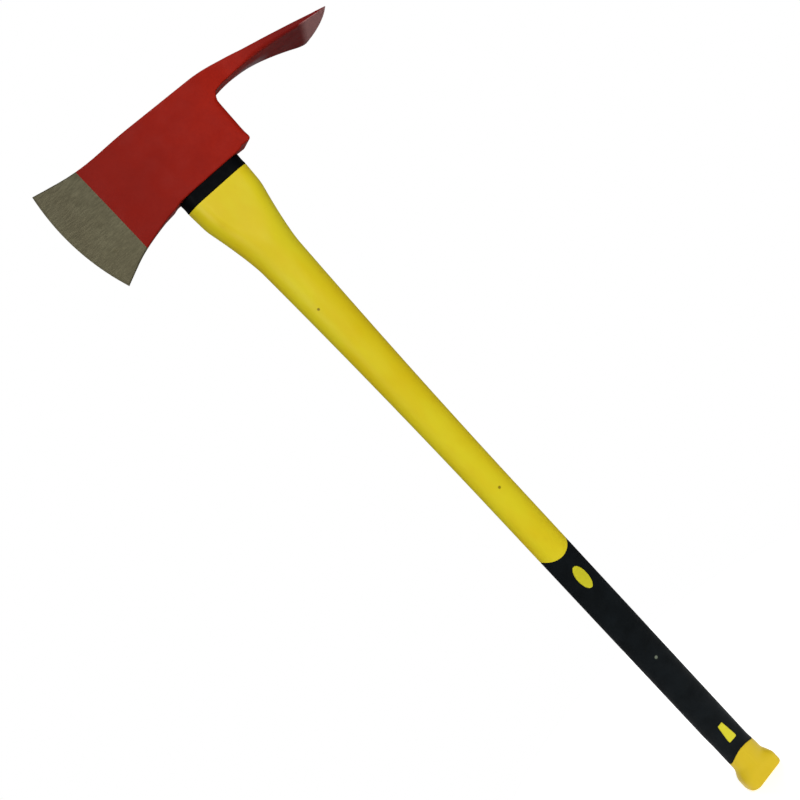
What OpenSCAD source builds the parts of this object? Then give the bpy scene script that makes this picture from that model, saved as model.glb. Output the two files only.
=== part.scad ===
// Grubbing fire axe. One steel forging carries a cutting bit on one side and a cross-set grubbing
// blade on the other. It is bonded onto a moulded handle with a glass-fibre core.
//
// Frame: the origin is the centre of the handle's flat butt face. +Z runs up the handle to the head,
// -X points to the cutting bit and +X to the grubbing blade. The XZ plane is the mirror plane.

/* [Overall] */
// Height of the eye's top above the butt face
axe_h = 883; // [800:1:960]

/* [Head body] */
// Height of the head at the eye
head_h = 75.5; // [72:0.5:84]
// Thickness of the head across the eye
cheek_t = 32; // [29:1:36]
// Distance from the handle's axis to the back of the poll
poll_x = 52; // [50:1:58]
// Radius of the poll's lower corner
poll_r = 4; // [3:0.5:8]
// How far the poll's lower corner stands above the collar's seat
poll_lift = 1.2; // [0:0.1:4]

/* [Cutting bit] */
// Distance from the handle's axis to the crown of the cutting edge
bit_reach = 130; // [120:1:140]
// Radius of the curved cutting edge, seen from the side
bit_r = 208; // [180:1:260]
// Height of the edge's crown above the head's underside
bit_crown_z = 44.5; // [40:0.5:52]
// Distance from the handle's axis to the line where the bit starts to widen
bit_neck_x = 84; // [78:1:92]
// How far the toe's corner rises above the neck line's top
toe_rise = 8.5; // [4:0.5:14]
// How far the heel's corner drops below the neck line's bottom
heel_drop = 14.5; // [8:0.5:20]
// Thickness of the bit at the neck line
bit_t = 11; // [9:0.5:14]
// Width of the ground bevel along the edge
grind_w = 6; // [4:0.5:9]
// Thickness of the bit where the ground bevel starts
grind_t = 3.4; // [2.5:0.1:4.5]
// Thickness left at the very edge
edge_t = 0.6; // [0.4:0.1:1.2]

/* [Grubbing blade] */
// Distance from the handle's axis to the crown of the grubbing edge
blade_reach = 181.5; // [165:0.5:190]
// Width of the grubbing edge
blade_w = 86; // [74:1:95]
// How far the grubbing edge's corners stand back from its crown
blade_crown = 4; // [2:0.5:7]
// Drop of the grubbing edge below the eye's top
blade_drop = 35; // [30:0.5:40]
// Thickness of the blade where its bevel starts
blade_t = 4.7; // [2.5:0.1:6]
// Width of the bevel under the grubbing edge
blade_grind = 15.5; // [10:0.5:22]
// Width of the blade's root, between the poll and the flare
root_w = 24.8; // [20:0.2:32]
// Distance from the handle's axis to the place where the flare starts
root_x = 80; // [72:1:90]

/* [Eye] */
// Length of the eye along X
eye_l = 60; // [54:1:64]
// Width of the eye along Y
eye_w = 20; // [18:0.5:22]
// Depth of the cured adhesive's top below the eye's top
epoxy_dip = 2; // [1:0.5:4]

/* [Core] */
// Length of the core's oblong section along X
core_l = 25; // [22:0.5:26]
// Width of the core's oblong section along Y
core_w = 15; // [13:0.5:16]
// Height of the core's lower end above the butt face
core_base = 14; // [10:1:30]

/* [Neck collar] */
// Height of the visible black band under the head
collar_h = 11.5; // [6:0.5:14]
// Length of the collar along X
collar_l = 70.8; // [68:0.2:74]
// Width of the collar along Y
collar_w = 31; // [29:0.5:34]
// Height of the collar's lip inside the eye
lip_h = 3; // [2:0.5:5]

/* [Handle jacket] */
// Width of the grip along X
grip_w = 35.6; // [34:0.2:40]
// Thickness of the handle along Y, as a share of its width
oval_ratio = 0.7; // [0.66:0.01:0.8]
// Width of the shaft along X just below the shoulder
shaft_top_w = 46; // [42:0.5:50]
// Height at which the shaft starts to swell towards the head
swell_z = 397; // [360:1:460]
// Height of the shoulder that flares out to the collar's length
flare_h = 66; // [50:1:80]
// Height of the straight band above the flare
band_h = 17; // [10:1:24]
// Width of the knob at the butt
butt_w = 44.8; // [40:0.2:52]
// Thickness of the knob between its flat faces
butt_t = 26; // [25:0.5:32]
// Height of the knob's straight part above the butt face
butt_h = 13; // [8:1:20]
// Height of the slope from the knob up to the shaft
butt_slope_h = 12; // [8:1:18]
// Radius of the knob's four upright corners
butt_corner_r = 6; // [4:0.5:10]
// Radius of the rounding round the butt face
butt_r = 2.5; // [1.5:0.5:4]

/* [Grip sleeve] */
// Height of the sleeve's upper end on the handle's faces
sleeve_top = 322.5; // [280:0.5:360]
// Height of the sleeve's lower end on the handle's faces
sleeve_base = 45; // [42:0.5:60]
// Radius of the curve of the sleeve's upper end
top_arc_r = 25; // [22:1:60]
// Radius of the curve of the sleeve's lower end
base_arc_r = 21.5; // [20:0.5:60]
// Thickness of the sleeve at the handle's edges
sleeve_wall = 2.8; // [2:0.1:3.2]
// Height of the oval window's centre
oval_z = 293; // [240:1:302]
// Length of the oval window along the handle
oval_h = 28; // [20:1:32]
// Width of the oval window
oval_w = 12.4; // [8:0.2:14]
// Height of the tapered window's lower, wide end
taper_z = 58; // [56:1:90]
// Length of the tapered window along the handle
taper_h = 22; // [14:1:30]
// Width of the tapered window's wide end
taper_wide = 10.9; // [8:0.1:13]
// Width of the tapered window's narrow end
taper_narrow = 6.6; // [4:0.1:8]

/* [Hidden] */
$fn = 48;

head_z = axe_h - head_h;
jacket_top = head_z - collar_h;
flare_top = jacket_top - band_h;
flare_base = flare_top - flare_h;
blade_edge_z = head_h - blade_drop;
reach_out = 1000;

// Points of a curve from a to c that leaves a and meets c along the lines to b
function bend(a, b, c, steps = 8) =
    [for (i = [0:steps]) let (t = i / steps) a * (1 - t) ^ 2 + b * 2 * t * (1 - t) + c * t ^ 2];

// Rises smoothly from 0 at t = 0 to 1 at t = 1
function ease(t) = let (u = min(1, max(0, t))) u * u * (3 - 2 * u);

// Mirrors a list of points across the X axis and reverses its order
function mirrored(points) = [for (i = [len(points) - 1:-1:0]) [points[i].x, -points[i].y]];

// Points [half-width, height] of the swelling shaft's outline up to the shoulder
function shaft_outline() =
    [for (i = [0:8]) let (t = i / 8, z = swell_z + (flare_base + 6 - swell_z) * t)
        [grip_w / 2 + (shaft_top_w - grip_w) / 2 * t ^ 2, z]];

// Half-width of the shoulder, at share t of the flare's height
function flare_a(t) =
    shaft_top_w / 2 + (collar_l - shaft_top_w) / 2 * t ^ 1.35;

module oblong(length, width) {
    for (side = [-1, 1])
        translate([side * (length - width) / 2, 0]) circle(d = width);
    square([length - width, width], center = true);
}

// Extrudes a shape drawn in X and Z along Y, over +-half_width
module across(half_width) {
    rotate([90, 0, 0]) translate([0, 0, -half_width])
        linear_extrude(2 * half_width) children();
}

// ---- Head ----

// Outline of the head from the side: x along the head, y up from its underside
module head_side() {
    neck_top = [-bit_neck_x, head_h + 2];
    neck_base = [-bit_neck_x, -8.5];
    // Slopes of the bit's upper and lower sides, drawn on past the cutting edge
    toe_slope = toe_rise / 41;
    heel_slope = -heel_drop / 34;
    past = bit_reach + 10 - bit_neck_x;
    edge = [blade_reach, blade_edge_z];
    grind = edge + [-1, 0.33] * blade_grind - [0, blade_t];
    crest = [100, head_h - 10.2];
    arch = [84, head_h - 20.9];
    inner = [poll_x + 5, head_h - 24.2];
    polygon(concat(
        [neck_top + past * [-1, toe_slope]],
        bend(neck_top + 16 * [-1, toe_slope], neck_top, [-58, head_h + 1.1]),
        bend([45, head_h - 0.9], [74, head_h - 1.6], crest),
        bend(crest, [140, head_h - 20.6], edge),
        [edge - [0, edge_t]],
        bend(grind, [118, arch.y], arch),
        bend(arch, [inner.x + 11, arch.y], inner),
        bend(inner, inner - [3.4, 3.2], inner - [4, 7.5], 4),
        bend([poll_x, poll_lift + poll_r], [poll_x, poll_lift], [poll_x - poll_r, poll_lift]),
        [[40, poll_lift + 0.5], [36, 0], [-36, 0], [-39, -1.3]],
        bend([-54, -2.9], neck_base, neck_base + 14 * [-1, heel_slope]),
        [neck_base + past * [-1, heel_slope]]
    ));
}

// Outline of the head from above: thin bit, eye cheeks, narrower root, then the blade's flare
function cheek_half(x) =
    bit_t / 2 + (cheek_t - bit_t) / 2 * ease((x + bit_neck_x) / (bit_neck_x - 28));
function root_half(x) =
    cheek_t / 2 - (cheek_t - root_w) / 2 * ease((x - 44) / (root_x - 44));

module head_plan() {
    corner = [blade_reach - blade_crown, blade_w / 2];
    knee = [root_x + 20, root_w / 2 + 1.6];
    rim = concat(
        [[-bit_reach - 20, bit_t / 2]],
        [for (i = [0:12]) let (x = -bit_neck_x + (bit_neck_x - 28) * i / 12) [x, cheek_half(x)]],
        [for (i = [0:7]) let (x = 44 + (root_x - 44) * i / 8) [x, root_half(x)]],
        bend([root_x, root_w / 2], knee, corner),
        [corner + (corner - knee) / 8]
    );
    crown_r = (blade_w ^ 2 / 4 + blade_crown ^ 2) / (2 * blade_crown);
    intersection() {
        polygon(concat(rim, mirrored(rim)));
        union() {
            translate([blade_reach - crown_r, 0]) circle(r = crown_r, $fn = 180);
            translate([-reach_out, -reach_out / 2]) square([reach_out + 60, reach_out]);
        }
    }
}

// Disc whose rim is the cutting edge: it thins the bit and grinds the bevel along the curve
module edge_wheel() {
    side = [
        [0, 60],
        [bit_r - 90, 60],
        [bit_r - bit_reach + bit_neck_x, bit_t / 2],
        [bit_r - grind_w, grind_t / 2],
        [bit_r, edge_t / 2]
    ];
    translate([bit_r - bit_reach, 0, bit_crown_z]) rotate([90, 0, 0])
        rotate_extrude($fn = 180) polygon(concat(side, mirrored(side)));
}

module axe_head() {
    color("firebrick") translate([0, 0, head_z]) difference() {
        intersection() {
            across(blade_w) head_side();
            translate([0, 0, -60]) linear_extrude(head_h + 120) head_plan();
            union() {
                edge_wheel();
                translate([-20, -reach_out / 2, -reach_out / 2]) cube(reach_out);
            }
        }
        translate([0, 0, -1]) linear_extrude(head_h + 2) oblong(eye_l, eye_w);
    }
}

// ---- Joint between head and handle ----

// Adhesive cast in the eye round the core, above the collar's lip
module eye_epoxy() {
    color("dimgray") difference() {
        translate([0, 0, head_z + lip_h])
            linear_extrude(head_h - lip_h - epoxy_dip) oblong(eye_l, eye_w);
        core_space();
    }
}

// Seal between the shoulder and the head, whose lip dams the eye and centres the handle in it
module neck_collar() {
    color([0.09, 0.1, 0.1]) difference() {
        union() {
            translate([0, 0, jacket_top]) linear_extrude(collar_h) oblong(collar_l, collar_w);
            translate([0, 0, head_z]) linear_extrude(lip_h) oblong(eye_l, eye_w);
        }
        core_space();
    }
}

module core_space() {
    translate([0, 0, core_base])
        linear_extrude(axe_h - epoxy_dip / 2 - core_base) oblong(core_l, core_w);
}

// Pultruded glass-fibre rod, from inside the knob to the eye's top
module handle_core() {
    color("tan") translate([0, 0, core_base])
        linear_extrude(axe_h - epoxy_dip / 2 - core_base) oblong(core_l, core_w);
}

// ---- Handle ----

// Oval shaft, as a turned outline pressed flat by oval_ratio
module shaft_form(inset = 0) {
    low = butt_h - 3;
    rim = [for (p = concat([[grip_w / 2, low]], shaft_outline())) [p.x - inset, p.y]];
    scale([1, oval_ratio, 1]) rotate_extrude($fn = 120)
        polygon(concat([[0, low]], rim, [[0, flare_base + 6]]));
}

// Upright corner rods of the knob's section, from height z up, drawn in by inset
module knob_corners(z, height, inset = 0) {
    at = [butt_w / 2 - butt_corner_r, butt_t / 2 - butt_corner_r];
    for (side = [-1, 1], face = [-1, 1])
        translate([side * at.x, face * at.y, z]) cylinder(r = butt_corner_r - inset, h = height);
}

// Knob with flat faces, a rounded butt edge and a slope up to the shaft
module knob() {
    hull() {
        knob_corners(0, 0.1, butt_r);
        knob_corners(0.3 * butt_r, 0.1, 0.3 * butt_r);
        knob_corners(butt_r, butt_h - butt_r);
    }
    hull() {
        knob_corners(butt_h - 0.2, 0.1);
        translate([0, 0, butt_h + butt_slope_h]) scale([1, oval_ratio, 1])
            cylinder(r = grip_w / 2 - 0.1, h = 0.1);
    }
}

// End discs of the shoulder's section at share t of the flare, from the shaft's oval to an oblong
module shoulder_ends(t) {
    end_r = (shaft_top_w * oval_ratio * (1 - t) + collar_w * t) / 2 - 0.1;
    stretch = 1 + 0.35 * (1 - t);
    for (side = [-1, 1])
        translate([side * (flare_a(t) - 0.1 - end_r * stretch), 0, flare_base + flare_h * t])
            linear_extrude(0.4) scale([stretch, 1]) circle(r = end_r, $fn = 32);
}

module shoulder() {
    steps = 4;
    for (i = [0:steps - 1]) hull() {
        shoulder_ends(i / steps);
        shoulder_ends((i + 1) / steps);
    }
    translate([0, 0, flare_top]) linear_extrude(band_h) oblong(collar_l, collar_w);
}

// Window outlines, drawn in X and Z
module windows() {
    translate([0, oval_z]) scale([oval_w / oval_h, 1]) circle(d = oval_h);
    translate([0, taper_z]) polygon([
        [-taper_wide / 2, 0],
        [taper_wide / 2, 0],
        [taper_narrow / 2, taper_h],
        [-taper_narrow / 2, taper_h]
    ]);
}

// The room that the sleeve takes out of the handle's form
module sleeve_space() {
    difference() {
        translate([-40, -40, 0]) cube([80, 80, 380]);
        shaft_form(sleeve_wall);
        across(60) translate([0, sleeve_top + top_arc_r]) union() {
            circle(r = top_arc_r);
            translate([-top_arc_r, 0]) square([2 * top_arc_r, 100]);
        }
        across(60) translate([0, sleeve_base - base_arc_r]) circle(r = base_arc_r);
        translate([-60, -60, -1]) cube([120, 120, sleeve_base - base_arc_r + 8]);
        across(60) windows();
    }
}

module handle_jacket() {
    color([0.83, 0.75, 0.18]) difference() {
        union() {
            knob();
            shaft_form();
            shoulder();
        }
        sleeve_space();
        core_space();
    }
}

module grip_sleeve() {
    color([0.1, 0.11, 0.12]) intersection() {
        shaft_form();
        sleeve_space();
    }
}

axe_head();
eye_epoxy();
handle_core();
neck_collar();
handle_jacket();
grip_sleeve();
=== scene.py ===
import math

import bmesh
import bpy
from mathutils import Matrix, Vector


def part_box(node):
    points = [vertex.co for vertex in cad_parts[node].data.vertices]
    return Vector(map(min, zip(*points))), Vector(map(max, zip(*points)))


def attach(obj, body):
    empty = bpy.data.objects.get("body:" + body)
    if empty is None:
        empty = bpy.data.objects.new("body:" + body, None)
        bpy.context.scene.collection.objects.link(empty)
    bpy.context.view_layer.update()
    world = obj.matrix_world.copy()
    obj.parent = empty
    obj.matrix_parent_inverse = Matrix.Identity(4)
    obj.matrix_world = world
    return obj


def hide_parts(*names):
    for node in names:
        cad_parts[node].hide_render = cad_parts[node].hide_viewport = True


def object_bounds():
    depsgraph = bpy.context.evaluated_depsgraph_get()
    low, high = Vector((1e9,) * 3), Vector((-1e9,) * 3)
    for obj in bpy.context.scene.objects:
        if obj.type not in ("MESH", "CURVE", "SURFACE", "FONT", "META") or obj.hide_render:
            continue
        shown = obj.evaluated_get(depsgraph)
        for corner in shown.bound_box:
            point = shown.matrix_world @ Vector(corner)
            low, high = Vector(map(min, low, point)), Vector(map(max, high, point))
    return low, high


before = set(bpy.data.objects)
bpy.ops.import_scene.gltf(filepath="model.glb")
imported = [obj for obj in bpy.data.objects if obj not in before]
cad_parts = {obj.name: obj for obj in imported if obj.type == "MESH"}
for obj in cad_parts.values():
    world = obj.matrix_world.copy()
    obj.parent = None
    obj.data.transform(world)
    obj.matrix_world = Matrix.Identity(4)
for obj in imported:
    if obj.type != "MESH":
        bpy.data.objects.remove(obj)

MM = 0.001
cad_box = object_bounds()


def box_mm(node):
    """Lowest and highest corner of a CAD node, in millimetres."""
    return [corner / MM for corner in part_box(node)]


head_box = box_mm("axe_head")
collar_box = box_mm("neck_collar")
epoxy_box = box_mm("eye_epoxy")
core_box = box_mm("handle_core")
jacket_box = box_mm("handle_jacket")

# ---- Places and sizes, in millimetres ----

# Head
LIP_H = 3
EPOXY_DIP = 2
HEAD_Z = collar_box[1].z - LIP_H
HEAD_H = epoxy_box[1].z + EPOXY_DIP - HEAD_Z
# Half the length of the flat that bears on the collar
SEAT_HALF = 36
CHEEK_HALF = 16
POLL_X = 52
POLL_R = 4
NECK_X = -84
BIT_REACH = -head_box[0].x
BIT_R = 208
# Height of the cutting edge's crown above the head's underside
CROWN_Z = 44.5
BIT_HALF = 5.5
# Width of the honed bevel along the cutting edge
HONE = 2
BLADE_X = head_box[1].x
BLADE_HALF = head_box[1].y
BLADE_CROWN = 4
BLADE_DROP = 35
EYE_HALF = Vector((30, 10))
ROOT = Vector((80, 12.4))

# Handle
JACKET_TOP = jacket_box[1].z
GRIP_HALF = 17.8
OVAL = 0.7
SHOULDER_HALF = 23
COLLAR_HALF = collar_box[1].xy
SWELL_Z = 397
FLARE_Z = 713
FLARE_TOP = 779
KNOB_HALF_T = 13
# Radius of the knob's upright corners on its +X and -X side
KNOB_CORNER = {1: 5, -1: 10}
SLEEVE_TOP = 322.5
SLEEVE_BASE = 45
TOP_ARC = 25
BASE_ARC = 21.5
WALL = 2.8


# ---- Small maths ----

def mix(a, b, t):
    return a + (b - a) * t


def ease(t):
    """Rises smoothly from 0 at t = 0 to 1 at t = 1."""
    t = min(1.0, max(0.0, t))
    return t * t * (3 - 2 * t)


def soft_min(a, b, width):
    """The smaller of a and b, rounded where they cross."""
    near = max(0.0, width - abs(a - b))
    return min(a, b) - near * near / (4 * width)


def bend(a, b, c, steps=8):
    """Points of a curve from a to c that leaves a and meets c along the lines to b."""
    a, b, c = Vector(a), Vector(b), Vector(c)
    points = []
    for i in range(steps + 1):
        t = i / steps
        points.append(a * (1 - t) ** 2 + b * 2 * t * (1 - t) + c * t ** 2)
    return points


def lengths(points):
    """Distance along a line of points to each of them."""
    total = [0.0]
    for a, b in zip(points, points[1:]):
        total.append(total[-1] + (b - a).length)
    return total


def along(points, share):
    """The point at a share of a line's length, and the direction there."""
    total = lengths(points)
    want = share * total[-1]
    for i in range(1, len(points)):
        if want <= total[i] or i == len(points) - 1:
            step = points[i] - points[i - 1]
            return points[i - 1] + step * ((want - total[i - 1]) / step.length), step.normalized()


def resampled(points, steps):
    return [along(points, i / steps)[0] for i in range(steps + 1)]


def height_at(points, x):
    """Height of a line of points that runs towards +X."""
    for a, b in zip(points, points[1:]):
        if x <= b.x:
            break
    return a.y + (b.y - a.y) * (x - a.x) / (b.x - a.x)


FLARE = bend(ROOT, ROOT + Vector((20, 1.6)), (BLADE_X - BLADE_CROWN, BLADE_HALF), 24)


# ---- Mesh building ----

def bridge(bm, first, second):
    """Quads between two closed loops of vertices."""
    count = len(first)
    for i in range(count):
        j = (i + 1) % count
        bm.faces.new((first[i], first[j], second[j], second[i]))


def loft(bm, rows, wrap=False, skip=()):
    """Joins rows of points into a tube and returns its vertices by row. The cells in skip stay open."""
    verts = [[bm.verts.new(point * MM) for point in row] for row in rows]
    count = len(rows[0])
    for i in range(len(rows) if wrap else len(rows) - 1):
        low, high = verts[i], verts[(i + 1) % len(rows)]
        for j in range(count):
            if (i, j) not in skip:
                k = (j + 1) % count
                bm.faces.new((low[j], low[k], high[k], high[j]))
    return verts


def cap(bm, ring, centre):
    """A fan from a closed loop to a point at its centre."""
    hub = bm.verts.new(centre * MM)
    for i, vert in enumerate(ring):
        bm.faces.new((vert, ring[(i + 1) % len(ring)], hub))


def rounded_sides(corners, radius, steps=6):
    """Four lines that make up a rounded four-cornered outline, each from mid-corner to mid-corner."""
    arcs = []
    for i, corner in enumerate(corners):
        back = (corners[i - 1] - corner).normalized()
        ahead = (corners[(i + 1) % 4] - corner).normalized()
        half = back.angle(ahead) / 2
        centre = corner + (back + ahead).normalized() * radius / math.sin(half)
        start = corner + back * radius / math.tan(half) - centre
        end = corner + ahead * radius / math.tan(half) - centre
        turn = [mix(start, end, k / (2 * steps)).normalized() for k in range(2 * steps + 1)]
        arcs.append([centre + spoke * radius for spoke in turn])
    return [arcs[i][steps:] + arcs[(i + 1) % 4][1:steps + 1] for i in range(4)]


def rounding(radius, steps):
    """Steps of a quarter round: how far each lies inside the wall, and how far past the round's start."""
    turns = [math.pi / 2 * i / steps for i in range(steps + 1)]
    return [(radius * (1 - math.sin(turn)), radius * (1 - math.cos(turn))) for turn in turns]


def ellipse_sides(centre, half_x, half_y, steps=12):
    """Four lines that make up an ellipse, each from corner to corner of its box."""
    sides = []
    for start in (225, 315, 45, 135):
        angles = [math.radians(start + 90 * k / steps) for k in range(steps + 1)]
        sides.append([centre + Vector((half_x * math.cos(a), half_y * math.sin(a))) for a in angles])
    return sides


def outline_ring(sides, counts, offset=0.0, shrink=1.0):
    """Points round an outline, counts[i] of them on side i, moved out by offset and shrunk to the middle."""
    ring = []
    for side, count in zip(sides, counts):
        for i in range(count):
            point, way = along(side, i / count)
            ring.append(point + Vector((way.y, -way.x)) * offset)
    middle = sum(ring, Vector((0, 0))) / len(ring)
    return [middle + (point - middle) * shrink for point in ring]


def add_ring(bm, last, points, place, depth):
    """Adds one more ring to an opening: place says where a point of its plan lies at that depth."""
    ring = [bm.verts.new(place(point, depth) * MM) for point in points]
    bridge(bm, last, ring)
    return ring


def block_loop(verts, rows, columns):
    """Vertices round a block of cells from its first row and column, and how many lie on each side."""
    (r0, r1), (c0, c1) = rows, columns
    loop = [verts[r0][c] for c in range(c0, c1)]
    loop += [verts[r][c1] for r in range(r0, r1)]
    loop += [verts[r1][c] for c in range(c1, c0, -1)]
    loop += [verts[r][c0] for r in range(r1, r0, -1)]
    return loop, (c1 - c0, r1 - r0, c1 - c0, r1 - r0)


def block_cells(rows, columns):
    return {(r, c) for r in range(*rows) for c in range(*columns)}


def add_object(name, data):
    made = bpy.data.objects.new(name, data)
    bpy.context.scene.collection.objects.link(made)
    return made


def add_mesh(name, bm, materials):
    mesh = bpy.data.meshes.new(name)
    bm.to_mesh(mesh)
    bm.free()
    for material in materials:
        mesh.materials.append(material)
    return add_object(name, mesh)


def finish_piece(name, bm, materials, nodes):
    """Turns a bmesh into a smooth piece that rides on the axe and stands for its CAD nodes."""
    bmesh.ops.recalc_face_normals(bm, faces=bm.faces)
    piece = add_mesh(name, bm, materials)
    piece.data.shade_smooth()
    normals = piece.modifiers.new("face_weighted_normals", "WEIGHTED_NORMAL")
    normals.keep_sharp = True
    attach(piece, "root")
    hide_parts(*nodes)
    return piece


# ---- Camera ----

def make_camera():
    """A camera at the photograph's angle. It is rolled, so that the upright axe lies across the view."""
    azimuth = math.radians(-14.4)
    elevation = math.radians(9.4)
    roll = math.radians(-43.02)
    distance = 1.0
    middle = (cad_box[0] + cad_box[1]) / 2
    target = middle + Vector((-35.45, 0, 94.5)) * MM
    back = Vector((
        math.sin(azimuth) * math.cos(elevation),
        -math.cos(azimuth) * math.cos(elevation),
        math.sin(elevation),
    ))
    side = (-back).cross(Vector((0, 0, 1))).normalized()
    above = side.cross(-back)
    right = side * math.cos(roll) + above * math.sin(roll)
    up = above * math.cos(roll) - side * math.sin(roll)
    camera = add_object("camera", bpy.data.cameras.new("camera"))
    camera.matrix_world = Matrix.Translation(target + back * distance) @ Matrix(
        (right, up, back)
    ).transposed().to_4x4()
    camera.data.sensor_width = 36
    camera.data.lens = 47.84
    camera.data.clip_start = 0.01
    bpy.context.scene.camera = camera


# ---- Materials ----

class Shading:
    """The node tree of a material or a world, with short calls for the nodes used here."""

    def __init__(self, owner):
        owner.use_nodes = True
        self.tree = owner.node_tree

    def node(self, kind, **settings):
        made = self.tree.nodes.new(kind)
        for key, value in settings.items():
            setattr(made, key, value)
        return made

    def link(self, value, socket):
        if isinstance(value, bpy.types.NodeSocket):
            self.tree.links.new(value, socket)
        else:
            socket.default_value = value

    def maths(self, operation, *values):
        made = self.node("ShaderNodeMath", operation=operation)
        for value, socket in zip(values, made.inputs):
            self.link(value, socket)
        return made.outputs[0]

    def parts(self, vector):
        """A vector's X, Y and Z."""
        made = self.node("ShaderNodeSeparateXYZ")
        self.link(vector, made.inputs[0])
        return made.outputs

    def ramp(self, value, low=0.3, high=0.7, to_low=0.0, to_high=1.0, kind="SMOOTHSTEP"):
        """Maps value from low..high to to_low..to_high, clamped."""
        made = self.node("ShaderNodeMapRange", interpolation_type=kind)
        for number, socket in zip((value, low, high, to_low, to_high), made.inputs):
            self.link(number, socket)
        return made.outputs[0]


class Finish(Shading):
    """A material. Its textures follow the position on the axe, in metres."""

    def __init__(self, name, roughness, metallic=0.0, specular=0.5):
        self.material = bpy.data.materials.new(name)
        super().__init__(self.material)
        self.shader = self.tree.nodes["Principled BSDF"]
        self.shader.inputs["Roughness"].default_value = roughness
        self.shader.inputs["Metallic"].default_value = metallic
        self.shader.inputs["Specular IOR Level"].default_value = specular
        self.position = self.node("ShaderNodeTexCoord").outputs["Object"]

    def scaled(self, per_mm, stretch=(1, 1, 1)):
        """The position, scaled so that a texture's features are about 1 / per_mm millimetres across."""
        made = self.node("ShaderNodeMapping")
        self.link(self.position, made.inputs["Vector"])
        made.inputs["Scale"].default_value = [per_mm / MM * s for s in stretch]
        return made.outputs[0]

    def noise(self, per_mm, detail=3.0, roughness=0.55, stretch=(1, 1, 1)):
        """Noise whose features are longer along the axes where the stretch is small."""
        made = self.node("ShaderNodeTexNoise")
        self.link(self.scaled(per_mm, stretch), made.inputs["Vector"])
        made.inputs["Scale"].default_value = 1.0
        made.inputs["Detail"].default_value = detail
        made.inputs["Roughness"].default_value = roughness
        return made.outputs["Fac"]

    def cells(self, per_mm):
        """Distance to the nearest of scattered points."""
        made = self.node("ShaderNodeTexVoronoi")
        self.link(self.scaled(per_mm), made.inputs["Vector"])
        made.inputs["Scale"].default_value = 1.0
        return made.outputs["Distance"]

    def blend(self, share, first, second):
        made = self.node("ShaderNodeMix", data_type="RGBA")
        self.link(share, made.inputs["Factor"])
        self.link(first, made.inputs[6])
        self.link(second, made.inputs[7])
        return made.outputs[2]

    def tint(self, colour, mask, share, other):
        """Blends another colour in, up to that share where the mask is 1."""
        return self.blend(self.maths("MULTIPLY", mask, share), colour, other)

    def surface(self, colour, texture, smooth, rough):
        """Sets the colour, and a roughness between two values that varies with a texture."""
        self.link(colour, self.shader.inputs["Base Color"])
        self.link(self.ramp(texture, to_low=smooth, to_high=rough), self.shader.inputs["Roughness"])

    def spot(self, centre, radius):
        """1 inside a small ball round centre, 0 outside, in millimetres."""
        made = self.node("ShaderNodeVectorMath", operation="DISTANCE")
        self.link(self.position, made.inputs[0])
        made.inputs[1].default_value = [c * MM for c in centre]
        return self.ramp(made.outputs["Value"], 0.6 * radius * MM, 1.4 * radius * MM, 1.0, 0.0)

    def bump(self, height, depth, strength=1.0):
        """Relief of that depth in millimetres, on top of any made before."""
        made = self.node("ShaderNodeBump")
        made.inputs["Distance"].default_value = depth * MM
        made.inputs["Strength"].default_value = strength
        self.link(height, made.inputs["Height"])
        if self.shader.inputs["Normal"].is_linked:
            self.link(self.shader.inputs["Normal"].links[0].from_socket, made.inputs["Normal"])
        self.link(made.outputs[0], self.shader.inputs["Normal"])


def srgb(red, green, blue):
    """A linear colour from 0..255 screen values."""
    def linear(value):
        share = value / 255
        return share / 12.92 if share <= 0.04045 else ((share + 0.055) / 1.055) ** 2.4
    return (linear(red), linear(green), linear(blue), 1)


def red_paint():
    """Sprayed enamel on a forging: soft mottling, orange peel, and a rubbed underside at the blade."""
    f = Finish("red_enamel", 0.5, specular=0.07)
    cloud = f.ramp(f.noise(1 / 45, 4, 0.6))
    colour = f.blend(cloud, srgb(154, 26, 11), srgb(167, 32, 16))
    fleck = f.ramp(f.noise(0.35, 5, 0.7), 0.35, 0.75)
    colour = f.tint(colour, fleck, 0.35, srgb(142, 18, 9))
    dust = f.ramp(f.noise(1.6, 2), 0.68, 0.8)
    colour = f.tint(colour, dust, 0.2, srgb(176, 56, 44))
    x, y, _ = f.parts(f.position)
    # Painted shade: darker towards the bit, and darker over the blade near the grubbing edge, where the
    # sides and underside get less light
    colour = f.blend(f.ramp(x, -0.1, 0.08, 0.65, 0.0), colour, srgb(118, 20, 12))
    colour = f.blend(f.ramp(x, 0.065, 0.16, 0.0, 0.85), colour, srgb(108, 20, 19))
    # The bevel under the grubbing edge is rubbed back to bare metal, further in on one side
    reach = f.maths("SUBTRACT", x, f.maths("MULTIPLY", y, 0.29))
    ragged = f.maths("MULTIPLY", f.maths("SUBTRACT", f.noise(0.12, 4), 0.5), 0.004)
    normal = f.parts(f.node("ShaderNodeNewGeometry").outputs["Normal"])
    under = f.ramp(normal[2], -0.5, -0.2, 1.0, 0.0)
    rubbed = f.maths("MULTIPLY", f.ramp(f.maths("ADD", reach, ragged), 0.159, 0.169), under)
    streak = f.noise(0.9, 3, 0.6, stretch=(0.15, 1, 1))
    bare = f.blend(streak, srgb(166, 108, 107), srgb(208, 152, 150))
    colour = f.blend(rubbed, colour, bare)
    # Painted glint: a pale patch on one side of the underside, where it curves down from the poll, painted
    # as a reflection of the bright surroundings
    pale_patch = f.maths("MULTIPLY", f.ramp(x, 0.08, 0.098), f.ramp(x, 0.112, 0.13, 0.7, 0.0))
    pale_patch = f.maths("MULTIPLY", f.maths("MULTIPLY", pale_patch, f.ramp(y, -0.004, 0.013)), under)
    colour = f.blend(pale_patch, colour, srgb(158, 144, 150))
    f.surface(colour, f.noise(0.06, 4), 0.42, 0.56)
    f.bump(f.noise(0.45, 3), 0.07)
    f.bump(f.noise(1.6, 2), 0.02)
    return f.material


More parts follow.
